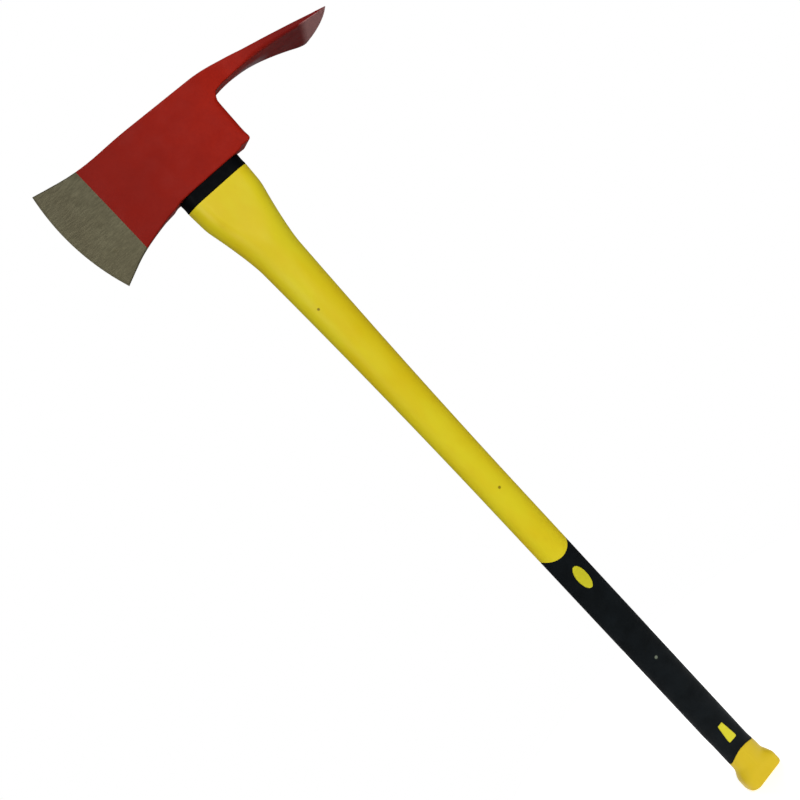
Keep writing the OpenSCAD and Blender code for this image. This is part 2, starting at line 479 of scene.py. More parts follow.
def ground_steel():
    """Blasted and ground steel of the cutting bit, with fine marks that run towards the edge."""
    f = Finish("ground_steel", 0.55, metallic=0.6, specular=0.2)
    grain = f.noise(0.9, 4, 0.65, stretch=(0.12, 1, 1))
    cloud = f.noise(1 / 25, 4, 0.6)
    colour = f.blend(f.ramp(cloud), srgb(80, 75, 57), srgb(91, 87, 68))
    colour = f.tint(colour, f.ramp(grain, 0.35, 0.75), 0.5, srgb(73, 69, 53))
    # Paler towards the heel
    paler = f.blend(0.5, colour, srgb(104, 99, 76))
    colour = f.blend(f.ramp(f.parts(f.position)[2], 0.79, 0.9, 0.0, 0.7), paler, colour)
    stain = f.ramp(f.noise(0.09, 5, 0.7), 0.6, 0.75)
    colour = f.tint(colour, stain, 0.4, srgb(80, 73, 48))
    f.surface(colour, grain, 0.46, 0.62)
    f.bump(grain, 0.03)
    f.bump(f.noise(2.2, 2), 0.015)
    return f.material


def yellow_plastic():
    """Moulded jacket: warm flow clouds, fine spark texture and two marks of core-locating pins."""
    f = Finish("yellow_jacket", 0.45, specular=0.2)
    cloud = f.ramp(f.noise(1 / 38, 3, 0.5, stretch=(1, 1, 0.45)))
    colour = f.blend(cloud, srgb(229, 201, 22), srgb(231, 215, 36))
    grime = f.ramp(f.noise(0.07, 6, 0.7), 0.56, 0.8)
    colour = f.tint(colour, grime, 0.3, srgb(212, 178, 22))
    # The pads in the grip are a little greener, and the knob is painted darker, as painted shade that
    # offsets the light the floor throws up on it
    height = f.parts(f.position)[2]
    colour = f.blend(f.ramp(height, 0.31, 0.315, 1.0, 0.0), colour, srgb(209, 201, 38))
    colour = f.blend(f.ramp(height, 0.045, 0.052, 1.0, 0.0), colour, srgb(205, 176, 22))
    for x, z, radius in ((-10.9, 656, 1.3), (0, 416, 1.5)):
        mark = f.spot(skin_point(x, z), radius)
        colour = f.blend(mark, colour, srgb(150, 128, 10))
    f.surface(colour, f.noise(0.05, 4), 0.36, 0.5)
    f.bump(f.noise(0.08, 3), 0.1, 0.6)
    f.bump(f.noise(1.8, 3), 0.02)
    f.shader.inputs["Subsurface Weight"].default_value = 0.04
    f.shader.inputs["Subsurface Radius"].default_value = (0.004, 0.003, 0.001)
    return f.material


def grip_rubber():
    """Overmoulded grip: black rubber with a fine leathery stipple and one pin mark."""
    f = Finish("grip_rubber", 0.62, specular=0.06)
    cloud = f.ramp(f.noise(1 / 30, 4, 0.6))
    colour = f.blend(cloud, srgb(8, 12, 14), srgb(16, 21, 24))
    # Pale scuffs on the rubber
    pale_patch = f.ramp(f.noise(0.2, 6, 0.75), 0.62, 0.8)
    colour = f.tint(colour, pale_patch, 0.4, srgb(30, 35, 35))
    colour = f.blend(f.spot(skin_point(-0.8, 180), 1.6), colour, srgb(112, 120, 104))
    f.surface(colour, f.noise(0.1, 4), 0.5, 0.66)
    f.bump(f.cells(1.1), 0.1)
    f.bump(f.noise(0.3, 3), 0.05)
    return f.material


def collar_rubber():
    """Seal: dull black rubber with faint pits."""
    f = Finish("collar_rubber", 0.55, specular=0.03)
    colour = f.blend(f.noise(0.12, 5, 0.65), srgb(4, 5, 7), srgb(9, 11, 13))
    f.surface(colour, f.noise(0.2, 3), 0.42, 0.6)
    f.bump(f.noise(0.9, 4), 0.05)
    return f.material


def cast_epoxy():
    """Dark filled adhesive with a few trapped bubbles and a slightly uneven, glossy top."""
    f = Finish("cast_epoxy", 0.3, specular=0.5)
    colour = f.blend(f.ramp(f.noise(0.15, 5)), srgb(44, 42, 38), srgb(66, 62, 56))
    bubble = f.ramp(f.cells(0.33), 0.1, 0.22, 1.0, 0.0)
    colour = f.tint(colour, bubble, 0.6, srgb(20, 19, 18))
    f.surface(colour, f.noise(0.3, 3), 0.22, 0.4)
    f.bump(f.noise(0.12, 3), 0.4)
    f.bump(bubble, -0.25)
    return f.material


def glass_fibre():
    """Pultruded rod: strands along Z, cut across at the ends."""
    f = Finish("glass_fibre", 0.55, specular=0.4)
    strands = f.noise(1.4, 3, 0.6, stretch=(1, 1, 0.03))
    colour = f.blend(f.ramp(strands), srgb(150, 128, 84), srgb(206, 188, 140))
    dots = f.ramp(f.cells(1.6), 0.15, 0.35, 1.0, 0.0)
    colour = f.tint(colour, dots, 0.35, srgb(226, 214, 176))
    f.surface(colour, strands, 0.45, 0.65)
    f.bump(strands, 0.08)
    return f.material


# ---- Head ----

def head_top():
    """The head's upper outline from past the toe to the grubbing edge: x, and height above the underside."""
    slope = Vector((-1, 8.5 / 41))
    neck = Vector((NECK_X, HEAD_H + 2.2))
    crest = (100, HEAD_H - 10.2)
    return (
        [neck + slope * 60]
        + bend(neck + slope * 16, neck, (-58, HEAD_H + 1.5))
        + bend((45, HEAD_H - 0.9), (74, HEAD_H - 1.6), crest, 12)
        + bend(crest, (140, HEAD_H - 20.6), (BLADE_X, HEAD_H - BLADE_DROP), 16)[1:]
    )


def head_bottom():
    """The lower outline in three lengths: past the heel to the eye, round the poll to the notch, and the
    blade's underside before its edge is ground. It also tells how many of the second length's points lie
    before the poll's back."""
    slope = Vector((-1, -14.5 / 34))
    neck = Vector((NECK_X, -8.5))
    lift = 1.2
    grind = Vector((BLADE_X - 15.5, HEAD_H - BLADE_DROP + 0.4))
    edge = Vector((BLADE_X, HEAD_H - BLADE_DROP - 2.2))
    arch = Vector((84, HEAD_H - 20.9))
    notch = Vector((POLL_X + 5, HEAD_H - 23.4))
    seat = (
        [neck + slope * 60]
        + bend(neck + slope * 14, neck, (-54, -2.9))
        + [Vector((-39, -1.3)), Vector((-SEAT_HALF, 0)), Vector((SEAT_HALF, 0))]
    )
    corner = bend((POLL_X - POLL_R, lift), (POLL_X, lift), (POLL_X, lift + POLL_R), 6)
    turn = bend(notch - Vector((4, 7.5)), notch - Vector((3.4, 3.2)), notch, 6)
    back = [mix(corner[-1], turn[0], i / 9) for i in range(1, 9)]
    poll = [Vector((40, 1.7))] + corner + back + turn
    blade = (
        bend(notch, (notch.x + 8, arch.y), arch, 8)
        + bend(arch, (118, arch.y), grind, 12)[1:]
        + [edge]
    )
    return seat, poll, 1 + len(corner) // 2 + 1, blade


def plan_half(x):
    """Half the head's width seen from above: thin bit, eye cheeks, narrower root, then the blade's flare."""
    if x > ROOT.x:
        return height_at(FLARE, x)
    cheek_start, cheek_end = -28, 44
    bit = mix(BIT_HALF, CHEEK_HALF, ease((x - NECK_X) / (cheek_start - NECK_X)))
    return mix(bit, ROOT.y, ease((x - cheek_end) / (ROOT.x - cheek_end)))


def half_width(x, z):
    """Half the head's thickness at a point seen from the side. The bit thins towards its curved edge."""
    if x > 0:
        return plan_half(x)
    from_edge = BIT_R - math.hypot(x - (BIT_R - BIT_REACH), z - CROWN_Z)
    edge_half, honed_half = 0.25, 1.25
    ground = BIT_REACH + NECK_X
    if from_edge < HONE:
        wedge = mix(edge_half, honed_half, max(0.0, from_edge) / HONE)
    elif from_edge < ground:
        wedge = mix(honed_half, BIT_HALF, (from_edge - HONE) / (ground - HONE))
    else:
        wedge = BIT_HALF + 1.2 * (from_edge - ground)
    return soft_min(plan_half(x), wedge, 1.0)


def arc_crossing(outline, radius):
    """Where an outline crosses a circle round the cutting edge's centre, coming from outside."""
    centre = Vector((BIT_R - BIT_REACH, CROWN_Z))
    for a, b in zip(outline, outline[1:]):
        far, near = (a - centre).length - radius, (b - centre).length - radius
        if near <= 0:
            return mix(a, b, far / (far - near))


class Rim:
    """A point of the head's outline, where the upper or lower strip across the head starts. most limits
    its fillet. HeadSkin.set_fillets adds the fillet's radius and the direction inwards."""

    def __init__(self, point, upper, most):
        self.point = Vector(point)
        self.upper = upper
        self.most = most


class HeadSkin:
    """Places the head's surface points. Columns i run from the cutting edge to the grubbing edge and rows
    j run down the sides. The blade has only the first rows: below them, the last column of the body runs
    down the poll's back. The lower strip follows that stepped border."""

    # Cells round each fillet, across the head between the fillets, and down the blade's sides
    ROUND = 4
    ACROSS = 14
    BLADE_ROWS = 6
    # Columns over the bit, from there to the end of the collar's seat, and over the blade
    BIT_COLUMNS = 5
    BODY_COLUMNS = 20
    BLADE_COLUMNS = 28
    # How many of the last columns lie on the bevel under the grubbing edge
    BEVEL = 4
    # How far askew the bevel's start is ground on either side
    SKEW = 12
    # Where the blade starts to follow the crown of its edge
    CROWN_START = 110
    # Thickness left at the grubbing edge, on the side where it is ground furthest and on the other
    LAND = 0.6
    FULL_LAND = 1.8

    def __init__(self):
        self.top_line = head_top()
        seat, poll, corner, blade = head_bottom()
        self.under_line = blade
        self.width = self.ACROSS + 2 * self.ROUND
        self.bows = []
        self.upper = []
        self.lower = []
        self.add_bit(seat)
        self.add_body(seat, poll[:corner])
        # Behind the poll the upper columns go on above the last three points of the notch
        turn = len(poll) - 3
        for point in poll[corner:turn]:
            self.lower.append(Rim(point, False, self.low_round(point)))
        self.rows = self.BLADE_ROWS + turn - corner
        for i, point in enumerate(poll[turn:]):
            self.add_column(POLL_X + 4 + 3 * i, point)
        self.add_blade(POLL_X + 10)
        self.last = len(self.upper) - 1
        self.crease = self.lower[-1 - self.BEVEL].point.x
        self.set_fillets(self.upper, 1)
        self.set_fillets(self.lower, -1)
        self.set_back()

    def low_round(self, point):
        """Fillet below: small, wider up the poll's back, and softened along the blade."""
        least = 1.3
        if 40 < point.x < 58:
            return mix(least, 5.0, ease((point.y - 0.5) / 12) * ease((HEAD_H - 24.5 - point.y) / 8))
        return mix(least, 3.6, ease((point.x - 84) / 24))

    def add_column(self, x, below, bow=0.0):
        self.upper.append(Rim((x, height_at(self.top_line, x)), True, 1.5))
        self.lower.append(Rim(below, False, self.low_round(Vector(below))))
        self.bows.append(bow)

    def add_bit(self, seat):
        """The cutting edge and its honed bevel lie on arcs, and the paint's border is straight."""
        for radius in (BIT_R, BIT_R - HONE):
            a, b = arc_crossing(self.top_line, radius), arc_crossing(seat, radius)
            bow = radius - math.sqrt(radius ** 2 - (a - b).length_squared / 4)
            self.add_column(a.x, b, bow)
        for i in range(1, self.BIT_COLUMNS + 1):
            t = i / self.BIT_COLUMNS
            x = mix(b.x, NECK_X, t)
            self.add_column(mix(a.x, NECK_X, t), (x, height_at(seat, x)), bow * (1 - t))
        self.steel = len(self.upper) - 1

    def add_body(self, seat, poll_end):
        """The body ends half-way round the poll's corner."""
        for i in range(1, self.BODY_COLUMNS + 1):
            x = mix(NECK_X, SEAT_HALF, i / self.BODY_COLUMNS)
            self.add_column(x, (x, height_at(seat, x)))
        for i, point in enumerate(poll_end):
            self.add_column(mix(SEAT_HALF, POLL_X + 1, (i + 1) / len(poll_end)), point)
        self.body = len(self.upper) - 1

    def add_blade(self, start):
        """Above, the columns are spread evenly from start on, and soon stand over the points below."""
        under = resampled(self.under_line, self.BLADE_COLUMNS)
        for i in range(1, self.BLADE_COLUMNS + 1):
            even = mix(start, BLADE_X, i / self.BLADE_COLUMNS)
            self.add_column(mix(even, under[i].x, ease(i / 12)), under[i])

    def set_fillets(self, rims, turn):
        """Sets each rim's inward direction, and a fillet radius that its surroundings leave room for."""
        for i, rim in enumerate(rims):
            ahead = rims[i + 1].point - rim.point if i + 1 < len(rims) else Vector((0, 0))
            behind = rim.point - rims[i - 1].point if i else Vector((0, 0))
            way = (ahead.normalized() + behind.normalized()).normalized()
            rim.inward = Vector((way.y, -way.x)) * turn
            x = rim.point.x
            height = HEAD_H
            if x > POLL_X + 8:
                blade_height = height_at(self.top_line, x) - height_at(self.under_line, x)
                height = mix(blade_height, self.LAND, self.past_crease(x))
            rim.radius = min(rim.most, 0.4 * 2 * half_width(*rim.point), 0.4 * height)

    def below(self, i, j):
        """Which point of the stepped lower border lies at column i and row j."""
        if i < self.body:
            return i
        return self.body + (self.rows - j) + (i - self.body)

    def set_back(self):
        """The body's last column, from the top down to the notch and on down the poll's back."""
        top = self.inset(self.upper[self.body], 1)
        notch = self.inset(self.lower[self.below(self.body, self.BLADE_ROWS)], 1)
        self.back = [mix(top, notch, j / self.BLADE_ROWS) for j in range(self.BLADE_ROWS)]
        for j in range(self.BLADE_ROWS, self.rows + 1):
            self.back.append(self.inset(self.lower[self.below(self.body, j)], 1))
        height = top.y - self.back[-1].y
        self.share = [(top.y - point.y) / height for point in self.back]

    def past_crease(self, x):
        """Share of the way from the bevel's start to the grubbing edge."""
        return max(0.0, (x - self.crease) / (BLADE_X - self.crease))

    def on_outline(self, rim, v):
        """A point of the outline, v = -1..1 across. The grubbing edge is crowned, and its bevel askew."""
        point = rim.point
        reach = ease((point.x - self.CROWN_START) / (BLADE_X - self.CROWN_START))
        if reach <= 0:
            return point.copy()
        crown = -BLADE_CROWN * v * v
        shift = crown * reach
        if rim.upper:
            x = point.x + shift
            return Vector((x, height_at(self.top_line, x)))
        before = ease((point.x - self.CROWN_START) / (self.crease - self.CROWN_START))
        past = self.past_crease(point.x)
        x = point.x + shift + self.SKEW * v * before * (1 - past)
        if past <= 0:
            return Vector((x, height_at(self.under_line, x)))
        crease_reach = ease((self.crease - self.CROWN_START) / (BLADE_X - self.CROWN_START))
        start = self.crease + self.SKEW * v + crown * crease_reach
        left = mix(self.LAND, self.FULL_LAND, (v + 1) / 2)
        edge_z = height_at(self.top_line, BLADE_X + crown) - left
        return Vector((x, mix(height_at(self.under_line, start), edge_z, past)))

    def inset(self, rim, side):
        return self.on_outline(rim, side) + rim.inward * rim.radius

    def side_point(self, i, j, side):
        """A point of the side at column i and row j. Rows bow with the cutting edge, and close to the
        poll they follow its back."""
        top = self.inset(self.upper[i], side)
        if i > self.body:
            low = self.inset(self.lower[self.below(i, self.BLADE_ROWS)], side)
            point = mix(top, low, j / self.BLADE_ROWS)
        else:
            low = self.inset(self.lower[i], side)
            t = self.share[j]
            chord = low - top
            bulge = Vector((chord.y, -chord.x)).normalized() * self.bows[i] * 4 * t * (1 - t)
            straight = mix(self.back[0], self.back[-1], t)
            pull = ease((i - self.body + 9) / 9)
            point = top + chord * t + bulge + (self.back[j] - straight) * pull
        return Vector((point.x, side * half_width(*point), point.y))

    def strip_point(self, rim, k):
        """Point k of the line across the head at a rim: a fillet at either end, and straight between."""
        radius, inward = rim.radius, rim.inward
        side = -1 if k < self.width / 2 else 1
        corner = self.on_outline(rim, side)
        steps = min(k, self.width - k)
        if steps < self.ROUND:
            turn = math.pi / 2 * steps / self.ROUND
            point = corner + inward * radius * (1 - math.sin(turn))
            face = half_width(*(corner + inward * radius))
            reach = mix(face, half_width(*corner), math.sin(turn)) - radius * (1 - math.cos(turn))
            return Vector((point.x, side * reach, point.y))
        v = 2 * (k - self.ROUND) / self.ACROSS - 1
        point = self.on_outline(rim, v)
        return Vector((point.x, v * (half_width(*corner) - radius), point.y))


def line_eye(bm, skin, top, low, block):
    """The eye: a rounded rim round the open block of cells above and below, and the wall between them."""
    half = EYE_HALF
    corners = [Vector((sx * half.x, sy * half.y)) for sx, sy in ((-1, -1), (1, -1), (1, 1), (-1, 1))]
    sides = rounded_sides(corners, half.y - 0.01)
    rim = 1.4
    columns, across = block
    ends = []
    for lines, sign in ((top, -1), (low, 1)):
        def place(point, depth):
            level = height_at(skin.top_line, point.x) if sign < 0 else 0.0
            return Vector((point.x, point.y, HEAD_Z + level + sign * depth))

        grid = {k: [line[k] for line in lines] for k in range(across[0], across[1] + 1)}
        ring, counts = block_loop(grid, across, columns)
        ring = add_ring(bm, ring, outline_ring(sides, counts, rim + 0.35), place, 0)
        for offset, depth in rounding(rim, 4):
            ring = add_ring(bm, ring, outline_ring(sides, counts, offset), place, depth)
        ends.append(ring)
    bridge(bm, *ends)


def build_head():
    """The forging: two sides, the strips across it above and below, its edges' lands and the eye."""
    skin = HeadSkin()
    bm = bmesh.new()
    width, rows, blade_rows, last = skin.width, skin.rows, skin.BLADE_ROWS, skin.last
    lift = Vector((0, 0, HEAD_Z))

    def add(spot):
        return bm.verts.new((spot + lift) * MM)

    sides = {}
    for k, side in ((0, -1), (width, 1)):
        for i in range(last + 1):
            for j in range((rows if i <= skin.body else blade_rows) + 1):
                sides[k, i, j] = add(skin.side_point(i, j, side))

    def strip(rims, border):
        """Rows of vertices across the head. Their ends are vertices of the sides."""
        made = []
        for rim, (i, j) in zip(rims, border):
            middle = [add(skin.strip_point(rim, k)) for k in range(1, width)]
            made.append([sides[0, i, j]] + middle + [sides[width, i, j]])
        return made

    def face(verts, steel):
        bm.faces.new(verts).material_index = 1 if steel else 0

    top_border = [(i, 0) for i in range(last + 1)]
    low_border = [(i, rows) for i in range(skin.body + 1)]
    low_border += [(skin.body, j) for j in range(rows - 1, blade_rows - 1, -1)]
    low_border += [(i, blade_rows) for i in range(skin.body + 1, last + 1)]
    top = strip(skin.upper, top_border)
    low = strip(skin.lower, low_border)
    for k in (0, width):
        for i in range(last):
            for j in range(rows if i < skin.body else blade_rows):
                cell = ((i, j), (i + 1, j), (i + 1, j + 1), (i, j + 1))
                face([sides[k, a, b] for a, b in cell], i < skin.steel)
    # The eye takes a block of cells out of the top and the underside
    columns = [i for i in range(skin.body) if abs(skin.upper[i].point.x) <= SEAT_HALF + 0.5]
    eye = (columns[0], columns[-1]), (skin.ROUND + 1, width - skin.ROUND - 1)
    open_cells = block_cells(*eye)
    for lines in (top, low):
        for i in range(len(lines) - 1):
            for k in range(width):
                if (i, k) not in open_cells:
                    a, b = lines[i], lines[i + 1]
                    face([a[k], b[k], b[k + 1], a[k + 1]], i < skin.steel)
    # The cutting edge's land and the grubbing edge's land
    for j in range(1, rows - 1):
        face([sides[0, 0, j], sides[0, 0, j + 1], sides[width, 0, j + 1], sides[width, 0, j]], True)
    face(top[0] + [sides[width, 0, 1], sides[0, 0, 1]], True)
    face(low[0] + [sides[width, 0, rows - 1], sides[0, 0, rows - 1]], True)
    for k in range(1, width - 1):
        face([top[-1][k], top[-1][k + 1], low[-1][k + 1], low[-1][k]], False)
    for k, inner in ((0, 1), (width, width - 1)):
        column = [sides[k, last, j] for j in range(blade_rows + 1)]
        face(column + [low[-1][inner], top[-1][inner]], False)
    line_eye(bm, skin, top, low, eye)

    # Crisp lines: both edges, the honed bevel and the start of the blade's ground bevel
    def crisp(a, b):
        edge = bm.edges.get((a, b))
        if edge:
            edge.smooth = False

    for k in (0, width):
        for j in range(rows):
            for i in (0, 1):
                crisp(sides[k, i, j], sides[k, i, j + 1])
    for k in range(width):
        for line in (top[-1], low[-1], low[-1 - skin.BEVEL]):
            crisp(line[k], line[k + 1])
    return finish_piece("painted_head", bm, [red_paint(), ground_steel()], ["axe_head"])


# ---- Handle form ----

def handle_half(z, side):
    """Half the handle's width along X. The knob's two sides differ a little."""
    if z > FLARE_Z:
        spread = COLLAR_HALF.x - SHOULDER_HALF
        flare = SHOULDER_HALF + spread * ((z - FLARE_Z) / (FLARE_TOP - FLARE_Z)) ** 1.35
        band = COLLAR_HALF.x - 0.9 + 0.05 * (z - FLARE_TOP)
        return soft_min(flare, band, 1.0)
    if z > SWELL_Z:
        return mix(GRIP_HALF, SHOULDER_HALF, ((z - SWELL_Z) / (FLARE_Z - SWELL_Z)) ** 2)
    if side > 0:
        knob = mix(22.8, GRIP_HALF, ease((z - 12) / 11))
        return knob + 1.2 * ease((z - 15) / 10) * ease((46 - z) / 18)
    knob = mix(21.3, GRIP_HALF, ease((z - 11) / 14))
    return knob - 0.6 * ease((z - 20) / 8) * ease((80 - z) / 24)


def handle_y(x, z, depth=0.0):
    """Half the handle's thickness along Y at a place on its face, depth under the skin."""
    side = 1 if x > 0 else -1
    full = handle_half(z, side)
    a = full - depth
    b = mix(OVAL * full, COLLAR_HALF.y, ease((z - FLARE_Z) / 50)) - OVAL * depth
    share = min(1.0, abs(x) / a)
    oval = b * math.sqrt(1 - share * share)
    if z < 28:
        corner = KNOB_CORNER[side] - depth
        past = max(0.0, share * a - (a - corner))
        block = KNOB_HALF_T - KNOB_CORNER[side] + math.sqrt(max(0.0, corner * corner - past * past))
        return mix(block, oval, ease((z - 11) / 16))
    if z > FLARE_Z:
        past = max(0.0, share * a - (a - b)) / b
        oblong = b * math.sqrt(max(0.0, 1 - past * past))
        return mix(oval, oblong, ease((z - FLARE_Z) / (FLARE_TOP + 6 - FLARE_Z)))
    return oval


def skin_point(x, z):
    """A point on the handle's front face, in millimetres."""
    return Vector((x, -handle_y(x, z), z))


# Around the handle's two edges, up to this many degrees from them, the angles are closer together
EDGE_ANGLE = 4.5


def ring_angles():
    """Angles round the handle, in degrees, close together at the mould's parting line on its two edges."""
    near = [0, 1.0, 2.2]
    steps = 46
    half = near + [mix(EDGE_ANGLE, 180 - EDGE_ANGLE, i / steps) for i in range(steps + 1)]
    half += [180 - a for a in near[:0:-1]]
    return half + [180 + a for a in half]


ANGLES = ring_angles()
# Height of the parting line's ridge, by the degrees from the handle's edge
FLASH = {0: 0.16, 1.0: 0.11}


def form_ring(level, depth, flash=True):
    """A ring of the handle's form, depth under the skin. level gives its height at each x of the grip,
    and flash adds the parting line's ridge."""
    ring = []
    for angle in ANGLES:
        turn = math.radians(angle)
        side = 1 if math.cos(turn) > 0 else -1
        z = level(GRIP_HALF * math.cos(turn))
        a = handle_half(z, side) - depth
        x = a * math.cos(turn)
        y = handle_y(x, z, depth) * (1 if angle < 180 else -1)
        from_edge = round(min(angle % 180, 180 - angle % 180), 2)
        if from_edge < EDGE_ANGLE:
            # Close to the edges the height of the oval is followed by angle, which keeps the points even
            limit = math.radians(EDGE_ANGLE)
            y = handle_y(side * a * math.cos(limit), z, depth) * math.sin(turn) / math.sin(limit)
        if flash:
            x += side * FLASH.get(from_edge, 0)
        ring.append(Vector((x, y, z)))
    return ring


def sleeve_base_at(x):
    return SLEEVE_BASE - BASE_ARC + math.sqrt(BASE_ARC ** 2 - x ** 2)


def sleeve_top_at(x):
    return SLEEVE_TOP + TOP_ARC - math.sqrt(TOP_ARC ** 2 - x ** 2)


def flat(z):
    """A level at one height."""
    return lambda x: z


def between(low, high, share, lift=0.0):
    """A level that lies a share of the way from one boundary to another."""
    return lambda x: mix(low(x), high(x), share) + lift


# Rows of cells along the grip sleeve
SLEEVE_ROWS = 92


def sleeve_level(row, lift=0.0):
    """The level of a row of the sleeve, counted from its lower end."""
    return between(sleeve_base_at, sleeve_top_at, row / SLEEVE_ROWS, lift)


def windows():
    """The two window outlines on the grip, an oval and one that tapers towards the head. Each comes with
    the lowest and highest row of cells that it takes, as heights, and their reach to either side."""
    oval = ellipse_sides(Vector((0, 293)), 6.2, 14)
    low, high = 58, 80
    wide, narrow = 10.9 / 2, 6.6 / 2
    taper = rounded_sides(
        [Vector((-wide, low)), Vector((wide, low)), Vector((narrow, high)), Vector((-narrow, high))], 0.9)
    return (oval, 276, 310, 9.6), (taper, 54, 84, 8.6)


def window_blocks():
    """Each window's outline with the cells that it takes, on the front and the back of the grip."""
    blocks = []
    for sides, low, high, reach in windows():
        level = [sleeve_level(row)(0) for row in range(SLEEVE_ROWS + 1)]
        inside = [row for row, z in enumerate(level) if low <= z <= high]
        rows = (inside[0], inside[-1])
        for face in (-1, 1):
            columns = [c for c, a in enumerate(ANGLES)
                       if (a < 180) == (face > 0) and abs(GRIP_HALF * math.cos(math.radians(a))) <= reach]
            blocks.append((sides, face, rows, (columns[0], columns[-1])))
    return blocks


def face_place(face):
    """Where a point of a window's plan lies on the grip's front or back, a depth under the skin."""
    def place(point, depth):
        x = -face * point.x
        return Vector((x, face * handle_y(x, point.y, depth), point.y))
    return place


# ---- Handle pieces ----

def lip_steps(radius):
    """A small rounded edge: how far each step lies from the opening, and how far under the skin."""
    return [(radius, 0), (0.3 * radius, 0.3 * radius), (0, radius)]


def shifted(rows, first):
    return rows[0] + first, rows[1] + first


def build_jacket():
    """Yellow moulding: the knob, the core of the grip, the shaft and the shoulder."""
    bm = bmesh.new()
    butt_round = 2.6
    top_round = 0.35
    wall_round = 0.45
    levels = [(flat(rise), inset) for inset, rise in rounding(butt_round, 5)]
    knob_rows = 16
    for i in range(1, knob_rows):
        levels.append((between(flat(butt_round), sleeve_base_at, i / knob_rows), 0))
    for away, depth in lip_steps(wall_round) + [(0, WALL)]:
        levels.append((sleeve_level(0, -away), depth))
    first_under = len(levels) - 1
    for row in range(1, SLEEVE_ROWS + 1):
        levels.append((sleeve_level(row), WALL))
    for away, depth in reversed(lip_steps(wall_round)):
        levels.append((sleeve_level(SLEEVE_ROWS, away), depth))
    shaft_rows = 120
    for i in range(1, shaft_rows):
        levels.append((between(sleeve_top_at, flat(JACKET_TOP), i / shaft_rows), 0))
    levels += [(flat(JACKET_TOP - top_round), 0), (flat(JACKET_TOP), top_round)]
    blocks = window_blocks()
    skip = set()
    for _, _, rows, columns in blocks:
        skip |= block_cells(shifted(rows, first_under), columns)
    verts = loft(bm, [form_ring(level, depth, depth < WALL) for level, depth in levels], skip=skip)
    # The butt face, and the top that the collar covers
    for rim, z in ((verts[0], 0), (verts[-1], JACKET_TOP)):
        ring = rim
        for share in (0.8, 0.45):
            inner = [bm.verts.new(Vector((v.co.x * share, v.co.y * share, z * MM))) for v in rim]
            bridge(bm, ring, inner)
            ring = inner
        cap(bm, ring, Vector((0, 0, z)))
    # The islands that show through the grip's windows
    for sides, face, rows, columns in blocks:
        ring, counts = block_loop(verts, shifted(rows, first_under), columns)
        place = face_place(face)
        for offset, depth in ((0.8, WALL), (0, WALL), (0, 0.5), (-0.12, 0.15), (-0.4, 0)):
            ring = add_ring(bm, ring, outline_ring(sides, counts, offset), place, depth)
        for shrink in (0.75, 0.45, 0.2):
            ring = add_ring(bm, ring, outline_ring(sides, counts, -0.4, shrink), place, -0.12 * (1 - shrink))
        cap(bm, ring, sum((v.co for v in ring), Vector()) / len(ring) / MM)
    return finish_piece("moulded_jacket", bm, [yellow_plastic()], ["handle_jacket"])


def build_sleeve():
    """Black rubber over the grip, with rounded lips at its ends and round its windows."""
    bm = bmesh.new()
    lip = 0.55
    inner = WALL - 0.1
    gap = 0.12
    end = lip_steps(lip) + [(0, 1.5)]
    levels = [(sleeve_level(0, gap + away), depth) for away, depth in reversed(end)]
    first_outer = len(levels) - 1
    for row in range(1, SLEEVE_ROWS):
        levels.append((sleeve_level(row), 0))
    levels += [(sleeve_level(SLEEVE_ROWS, -gap - away), depth) for away, depth in end]
    first_inner = len(levels)
    for row in range(SLEEVE_ROWS, -1, -1):
        lift = gap if row == 0 else -gap if row == SLEEVE_ROWS else 0
        levels.append((sleeve_level(row, lift), inner))
    # The inner wall's rows run from the sleeve's upper end down
    inner_base = first_inner + SLEEVE_ROWS
    blocks = window_blocks()
    skip = set()
    for _, _, rows, columns in blocks:
        inner_rows = (inner_base - rows[1], inner_base - rows[0])
        skip |= block_cells(shifted(rows, first_outer), columns) | block_cells(inner_rows, columns)
    verts = loft(bm, [form_ring(level, depth, depth == 0) for level, depth in levels], wrap=True, skip=skip)
    inner_verts = verts[:first_inner - 1:-1]
    wall = [(1.2, 0)] + lip_steps(lip) + [(0, inner)]
    for sides, face, rows, columns in blocks:
        ring, counts = block_loop(verts, shifted(rows, first_outer), columns)
        place = face_place(face)
        for away, depth in wall:
            ring = add_ring(bm, ring, outline_ring(sides, counts, gap + away), place, depth)
        under, _ = block_loop(inner_verts, rows, columns)
        bridge(bm, ring, under)
    return finish_piece("grip_sleeve_rubber", bm, [grip_rubber()], ["grip_sleeve"])


def grown(half, by):
    return half + Vector((by, by))


def oblong_ring(half, z, count=72):
    """A ring of an oblong with round ends, given half its length and width."""
    ring = []
    straight = half.x - half.y
    for i in range(count):
        turn = 2 * math.pi * i / count
        reach = half.x * math.cos(turn)
        past = max(0.0, abs(reach) - straight) / half.y
        y = half.y * math.sqrt(max(0.0, 1 - past * past))
        ring.append(Vector((reach, math.copysign(y, math.sin(turn)), z)))
    return ring


def build_collar():
    """Seal between the shoulder and the head, with soft edges and the lip that dams the eye."""
    bm = bmesh.new()
    low, high, lip = collar_box[0].z, HEAD_Z, collar_box[1].z
    soft = 0.9
    rows = [(grown(COLLAR_HALF, -inset), low + rise) for inset, rise in rounding(soft, 3)]
    for share in (0.25, 0.5, 0.75):
        waist = 0.25 * math.sin(math.pi * share)
        rows.append((grown(COLLAR_HALF, -waist), mix(low + soft, high - soft, share)))
    rows += [(grown(COLLAR_HALF, -inset), high - rise) for inset, rise in rounding(soft, 3)[::-1]]
    gap = 0.05
    eye = grown(EYE_HALF, -gap)
    core = grown(core_box[1].xy, gap)
    rows += [(eye, high), (eye, lip), (core, lip), (core, low)]
    loft(bm, [oblong_ring(*row) for row in rows], wrap=True)
    return finish_piece("seal_collar", bm, [collar_rubber()], ["neck_collar"])


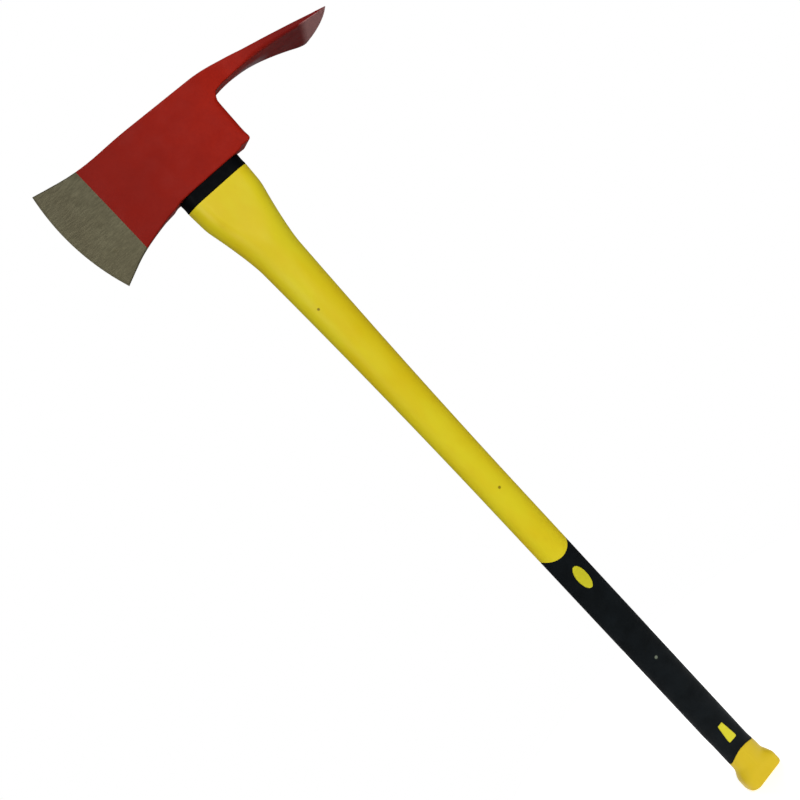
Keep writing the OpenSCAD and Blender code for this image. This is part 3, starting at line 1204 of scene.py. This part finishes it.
def build_epoxy():
    """Adhesive that fills the eye round the core. Its top creeps up the eye's wall and the core."""
    bm = bmesh.new()
    low, high = epoxy_box[0].z, epoxy_box[1].z
    gap = 0.03
    eye = grown(EYE_HALF, -gap)
    core = grown(core_box[1].xy, gap)
    creep = 0.8
    rows = [(core, low), (eye, low)]
    steps = 10
    for i in range(steps + 1):
        t = i / steps
        rise = creep * ((1 - t) ** 4 + 0.7 * t ** 4) - 0.5 * creep * t * (1 - t)
        rows.append((mix(eye, core, ease(t)), high + rise))
    loft(bm, [oblong_ring(*row) for row in rows], wrap=True)
    return finish_piece("eye_adhesive", bm, [cast_epoxy()], ["eye_epoxy"])


def build_core():
    """Glass-fibre rod with sawn, lightly dressed ends."""
    bm = bmesh.new()
    half = core_box[1].xy
    low, high = core_box[0].z, core_box[1].z
    dress = 0.4
    steps = 30
    heights = [mix(low + dress, high - dress, i / steps) for i in range(steps + 1)]
    rows = [(half, z) for z in heights]
    rows = [(grown(half, -dress), low)] + rows + [(grown(half, -dress), high)]
    verts = loft(bm, [oblong_ring(*row) for row in rows])
    cap(bm, verts[0], Vector((0, 0, low)))
    cap(bm, verts[-1], Vector((0, 0, high)))
    return finish_piece("fibre_core", bm, [glass_fibre()], ["handle_core"])


# ---- Stage ----

def make_floor():
    """A plain pale floor, a little luminous so that its shadow stays faint."""
    bm = bmesh.new()
    bmesh.ops.create_circle(bm, cap_ends=True, segments=96, radius=0.4)
    f = Finish("pale_floor", 0.9, specular=0.1)
    f.link(f.blend(f.noise(0.02), (0.9, 0.9, 0.9, 1), (0.86, 0.86, 0.86, 1)), f.shader.inputs["Base Color"])
    f.shader.inputs["Emission Color"].default_value = (1, 1, 1, 1)
    f.shader.inputs["Emission Strength"].default_value = 0.5
    floor = add_mesh("floor", bm, [f.material])
    floor.location.z = cad_box[0].z - 0.0002


def make_light(name, place, aim, size, power):
    light = bpy.data.lights.new(name, "AREA")
    light.shape = "DISK"
    light.size = size
    light.energy = power
    lamp = add_object(name, light)
    lamp.location = place
    lamp.rotation_euler = (Vector(aim) - Vector(place)).to_track_quat("-Z", "Y").to_euler()


def make_world():
    """White backdrop, and a dimmer soft sky that lights the object."""
    world = bpy.data.worlds.new("studio")
    bpy.context.scene.world = world
    f = Shading(world)
    direction = f.parts(f.node("ShaderNodeTexCoord").outputs["Generated"])
    # The studio is bright behind the axe and overhead, and dim on the camera's side
    behind = f.ramp(direction[1], -0.3, 0.8, 0.05, 0.25, kind="LINEAR")
    overhead = f.ramp(direction[2], 0.0, 0.9, 0.0, 0.15, kind="LINEAR")
    sky = f.node("ShaderNodeBackground")
    f.link(f.maths("ADD", behind, overhead), sky.inputs["Strength"])
    backdrop = f.tree.nodes["Background"]
    backdrop.inputs["Color"].default_value = (1, 1, 1, 1)
    choice = f.node("ShaderNodeMixShader")
    seen = f.node("ShaderNodeLightPath").outputs["Is Camera Ray"]
    for output, socket in zip((seen, sky.outputs[0], backdrop.outputs[0]), choice.inputs):
        f.link(output, socket)
    f.link(choice.outputs[0], f.tree.nodes["World Output"].inputs["Surface"])


make_camera()
build_head()
build_collar()
build_epoxy()
build_core()
build_jacket()
build_sleeve()
make_floor()
make_world()
make_light("key", (1.2, -1.4, 2.2), (0, 0, 0.55), 1.2, 16)
make_light("fill", (-1.3, -1.5, 1.0), (0, 0, 0.55), 1.2, 16)
make_light("front", (0.2, -2.4, 1.3), (0, 0, 0.5), 1.4, 22)
make_light("back", (0.3, 1.6, 1.5), (0, 0, 0.6), 1.2, 20)
bpy.context.scene.view_settings.view_transform = "Standard"
